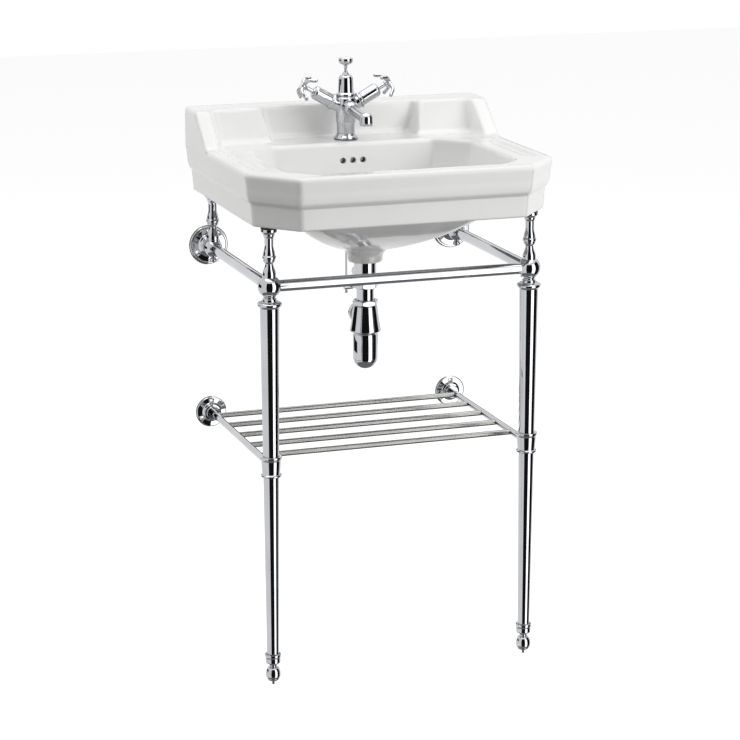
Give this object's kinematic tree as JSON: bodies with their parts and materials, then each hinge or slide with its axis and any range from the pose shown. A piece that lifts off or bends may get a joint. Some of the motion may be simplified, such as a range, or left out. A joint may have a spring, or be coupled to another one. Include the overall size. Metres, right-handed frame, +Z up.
{
  "type": "basin with stand",
  "caption": "Console washbasin with splashback on a turned chrome washstand with towel rails and slatted shelf, with a cross-handled mixer tap, pop-up waste and bottle trap.",
  "frame": {"origin": "on the floor, midway between the wall and the basin's front and midway between its sides", "axes": "+Z up, +Y towards the wall, so the basin's front faces -Y; +X to the right as seen from the front"},
  "size_m": [0.56, 0.47, 1.0672],
  "materials": {
    "vitreous_china": "white glaze, high gloss",
    "china_buttons": "white glaze, high gloss",
    "chrome": "polished chrome plate on brass",
    "brass": "unplated, machined",
    "rubber": "black, matt",
    "steel_pin": "dark, screwed"
  },
  "bodies": {
    "root": {"basin": "vitreous_china", "tap_gasket": "rubber", "tap_base": "chrome", "tap_body": "chrome", "tap_spout": "chrome", "spout_aerator": "chrome", "centre_bonnet": "chrome", "left_bonnet": "chrome", "right_bonnet": "chrome", "tap_fixings": "brass", "waste_body": "chrome", "waste_seal": "rubber", "waste_nut": "brass", "pivot_nut": "chrome", "inlet_nut": "chrome", "inlet_pipe": "chrome", "trap_nut": "chrome", "trap_hood": "chrome", "trap_bottle": "chrome", "bottle_seal": "rubber", "outlet_nut": "chrome", "front_rail": "chrome", "left_rail": "chrome", "right_rail": "chrome", "left_ball": "chrome", "right_ball": "chrome", "left_leg": "chrome", "right_leg": "chrome", "left_foot": "chrome", "right_foot": "chrome", "front_left_baluster": "chrome", "front_right_baluster": "chrome", "rear_left_baluster": "chrome", "rear_right_baluster": "chrome", "basin_pads": "rubber", "left_tee": "chrome", "right_tee": "chrome", "upper_left_flange": "chrome", "upper_right_flange": "chrome", "lower_left_flange": "chrome", "lower_right_flange": "chrome", "left_shelf_rail": "chrome", "right_shelf_rail": "chrome", "shelf_bars": "chrome", "left_shelf_collar": "chrome", "right_shelf_collar": "chrome"},
    "left_tap": {"left_spindle": "chrome", "left_handle": "chrome", "left_index": "china_buttons"},
    "right_tap": {"right_spindle": "chrome", "right_handle": "chrome", "right_index": "china_buttons"},
    "lift": {"lift_knob": "chrome", "knob_index": "china_buttons", "lift_rod": "chrome", "rod_connector": "chrome"},
    "lever": {"pivot_rod": "chrome"},
    "plug": {"waste_plug": "chrome"},
    "left_level": {"left_pin": "steel_pin"},
    "right_level": {"right_pin": "steel_pin"}
  },
  "joints": [
    {"name": "left_tap_turn", "type": "hinge", "parent": "root", "child": "left_tap", "pos_m": [0, 0.148, 0.972], "axis": [-0.8746, 0, 0.4848], "range_deg": [0, 90]},
    {"name": "right_tap_turn", "type": "hinge", "parent": "root", "child": "right_tap", "pos_m": [0, 0.148, 0.972], "axis": [0.8746, 0, 0.4848], "range_deg": [0, 90]},
    {"name": "popup_lift", "type": "slide", "parent": "root", "child": "lift", "axis": [0, 0, 1], "range_m": [0, 0.014]},
    {"name": "lever_pivot", "type": "hinge", "parent": "root", "child": "lever", "pos_m": [0, 0.078, 0.683], "axis": [1, 0, 0], "range_deg": [0, 12.1]},
    {"name": "plug_slide", "type": "slide", "parent": "root", "child": "plug", "axis": [0, 0, 1], "range_m": [-0.008, 0]},
    {"name": "left_pin_screw", "type": "slide", "parent": "root", "child": "left_level", "axis": [0, 0, 1], "range_m": [0, 0.005]},
    {"name": "right_pin_screw", "type": "slide", "parent": "root", "child": "right_level", "axis": [0, 0, 1], "range_m": [0, 0.005]}
  ],
  "couplings": [
    {"joint": "lever_pivot", "follows": "popup_lift", "rad_per_m": 15},
    {"joint": "plug_slide", "follows": "popup_lift", "ratio": -0.566}
  ]
}
